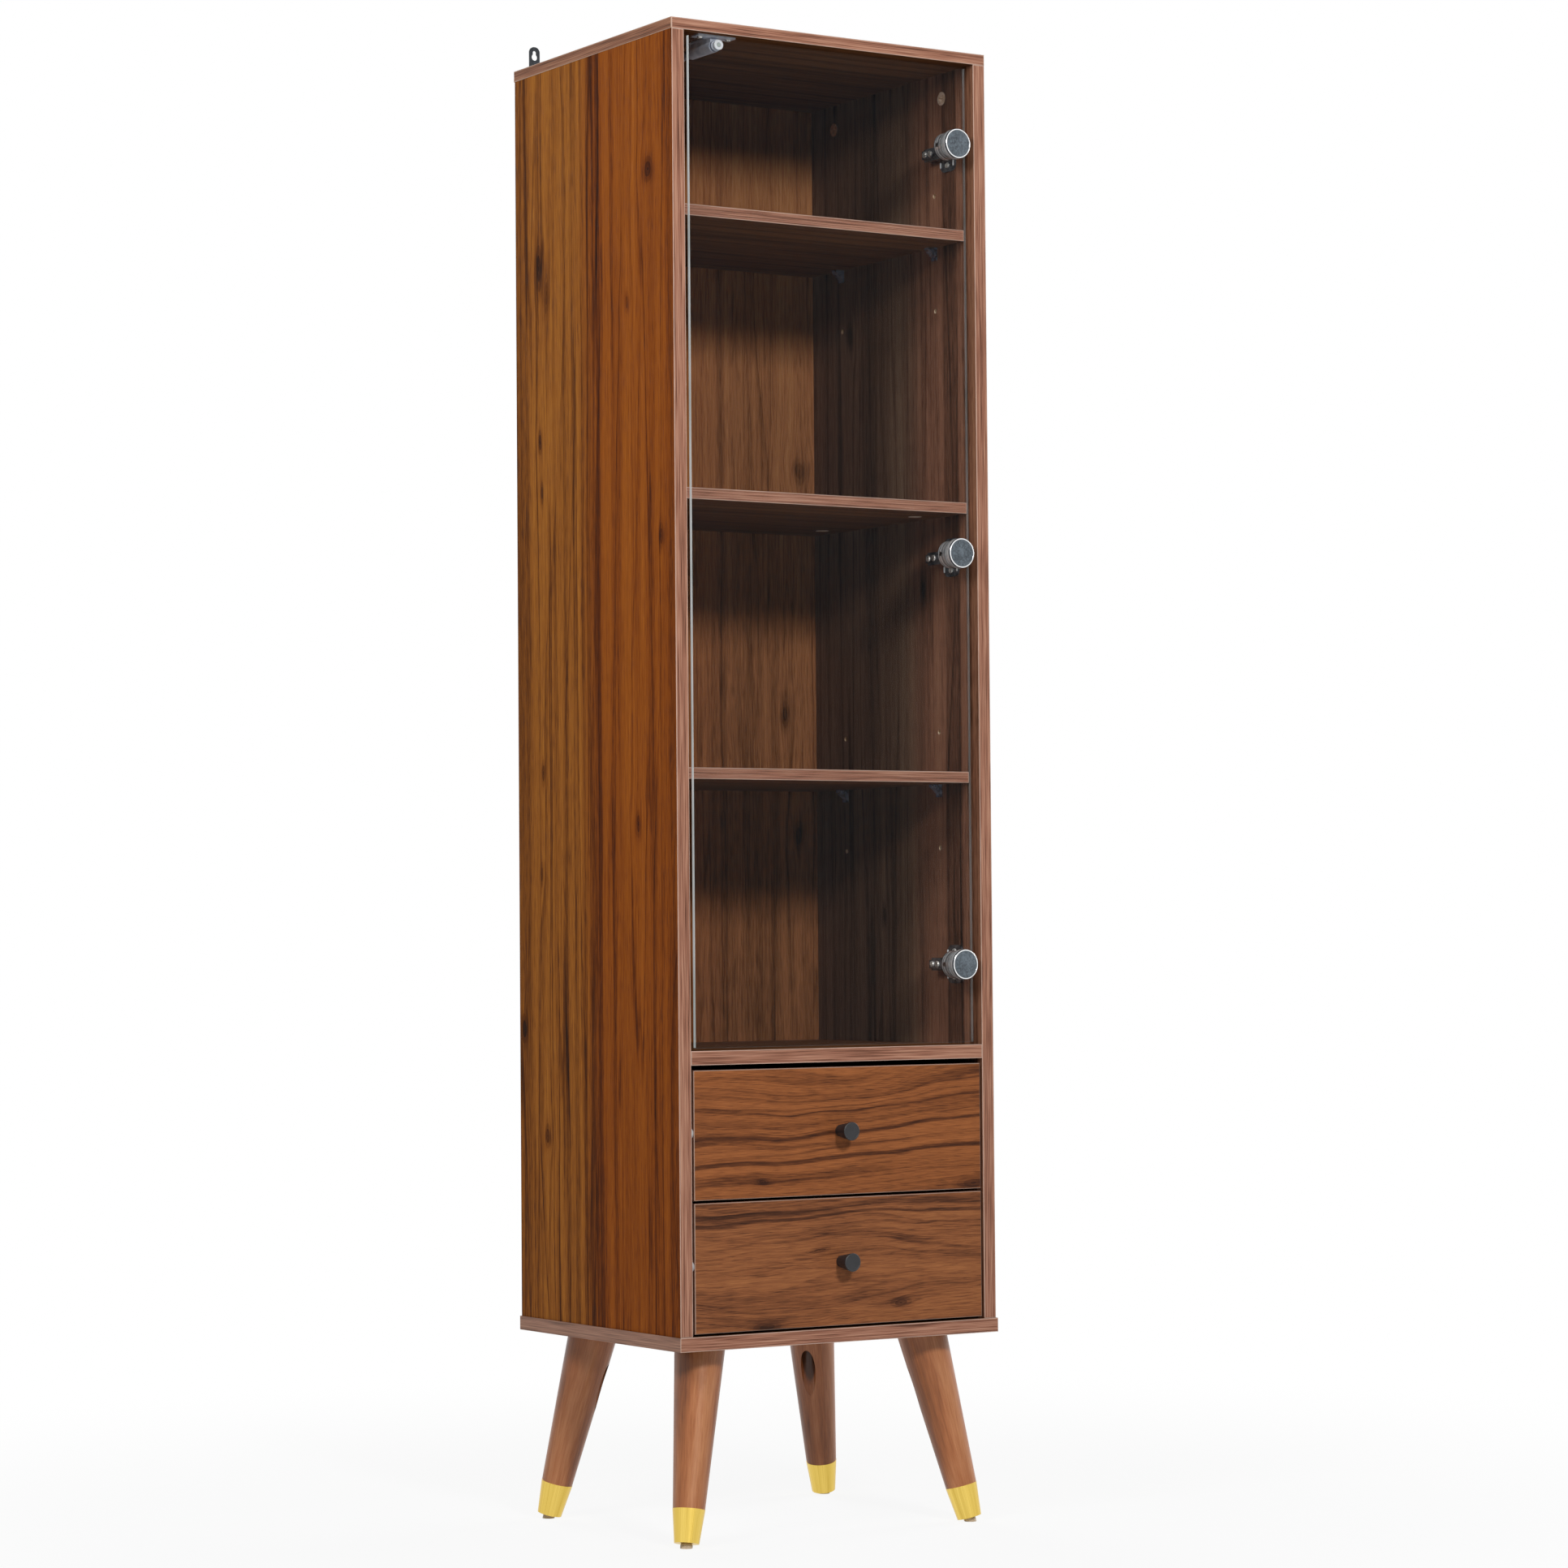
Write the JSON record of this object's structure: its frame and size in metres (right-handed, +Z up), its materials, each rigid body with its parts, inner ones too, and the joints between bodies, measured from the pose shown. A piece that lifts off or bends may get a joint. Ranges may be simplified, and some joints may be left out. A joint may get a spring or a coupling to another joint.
{
  "type": "display cabinet",
  "caption": "Tall narrow wooden display cabinet on splayed brass-tipped legs, with shelves behind a hinged frameless glass door and drawers with conical knobs below.",
  "frame": {"origin": "floor, under the middle of the whole footprint with the knobs", "axes": "+Z up, front faces -Y, +X to the hinge side of the door"},
  "size_m": [0.403, 0.363, 1.632],
  "materials": {
    "panel_wood": "satin walnut print",
    "drawer_wood": "satin walnut print",
    "leg_wood": "satin lacquer",
    "brass": "brushed",
    "glide_plastic": "matt",
    "clear_plastic": "clear",
    "zinc": "zinc plated",
    "chrome": "polished",
    "glass": "polished edges",
    "latch_plastic": "satin",
    "dark_steel": "satin black",
    "runner_steel": "zinc plated",
    "knob_black": "satin black"
  },
  "bodies": {
    "carcass": {"back_panel": "panel_wood", "bottom_panel": "panel_wood", "top_panel": "panel_wood", "side_panel_left": "panel_wood", "side_panel_right": "panel_wood", "divider_panel": "panel_wood", "shelf_upper": "panel_wood", "shelf_middle": "panel_wood", "shelf_lower": "panel_wood", "leg_front_left": "leg_wood", "leg_front_right": "leg_wood", "leg_back_left": "leg_wood", "leg_back_right": "leg_wood", "leg_ferrules": "brass", "leg_glides": "glide_plastic", "shelf_supports": "clear_plastic", "cam_locks": "zinc", "cam_bolts": "zinc", "wood_screws": "zinc", "leg_bolts": "zinc", "hinge_arm_screws": "zinc", "hinge_arm_top": "chrome", "hinge_arm_middle": "chrome", "hinge_arm_bottom": "chrome", "hinge_plate_top": "chrome", "hinge_plate_middle": "chrome", "hinge_plate_bottom": "chrome", "latch_cradle": "latch_plastic", "latch_body": "latch_plastic", "wall_bracket_left": "dark_steel", "wall_bracket_right": "dark_steel", "runner_channels": "runner_steel"},
    "door": {"glass_door": "glass", "latch_strike": "chrome", "hinge_pins": "zinc", "hinge_grub_screws": "zinc", "hinge_cap_top": "chrome", "hinge_cap_middle": "chrome", "hinge_cap_bottom": "chrome", "hinge_cup_top": "chrome", "hinge_cup_middle": "chrome", "hinge_cup_bottom": "chrome"},
    "latch_plunger": {"latch_plunger": "latch_plastic"},
    "drawer_upper": {"drawer_upper_front": "drawer_wood", "drawer_upper_sides": "drawer_wood", "drawer_upper_back": "drawer_wood", "drawer_upper_bottom": "drawer_wood", "drawer_upper_knob": "knob_black", "drawer_upper_knob_screw": "zinc", "drawer_upper_slides": "runner_steel", "drawer_upper_bumper": "clear_plastic"},
    "drawer_lower": {"drawer_lower_front": "drawer_wood", "drawer_lower_sides": "drawer_wood", "drawer_lower_back": "drawer_wood", "drawer_lower_bottom": "drawer_wood", "drawer_lower_knob": "knob_black", "drawer_lower_knob_screw": "zinc", "drawer_lower_slides": "runner_steel", "drawer_lower_bumper": "clear_plastic"}
  },
  "joints": [
    {"name": "door_swing", "type": "hinge", "parent": "carcass", "child": "door", "pos_m": [0.16696, -0.1491, 0], "axis": [0, 0, 1], "range_deg": [0, 95]},
    {"name": "drawer_upper_slide", "type": "slide", "parent": "carcass", "child": "drawer_upper", "axis": [0, -1, 0], "range_m": [0, 0.22]},
    {"name": "drawer_lower_slide", "type": "slide", "parent": "carcass", "child": "drawer_lower", "axis": [0, -1, 0], "range_m": [0, 0.22]},
    {"name": "latch_push", "type": "slide", "parent": "carcass", "child": "latch_plunger", "axis": [0, 1, 0], "range_m": [0, 0.004], "stiffness_N_per_m": 600}
  ]
}
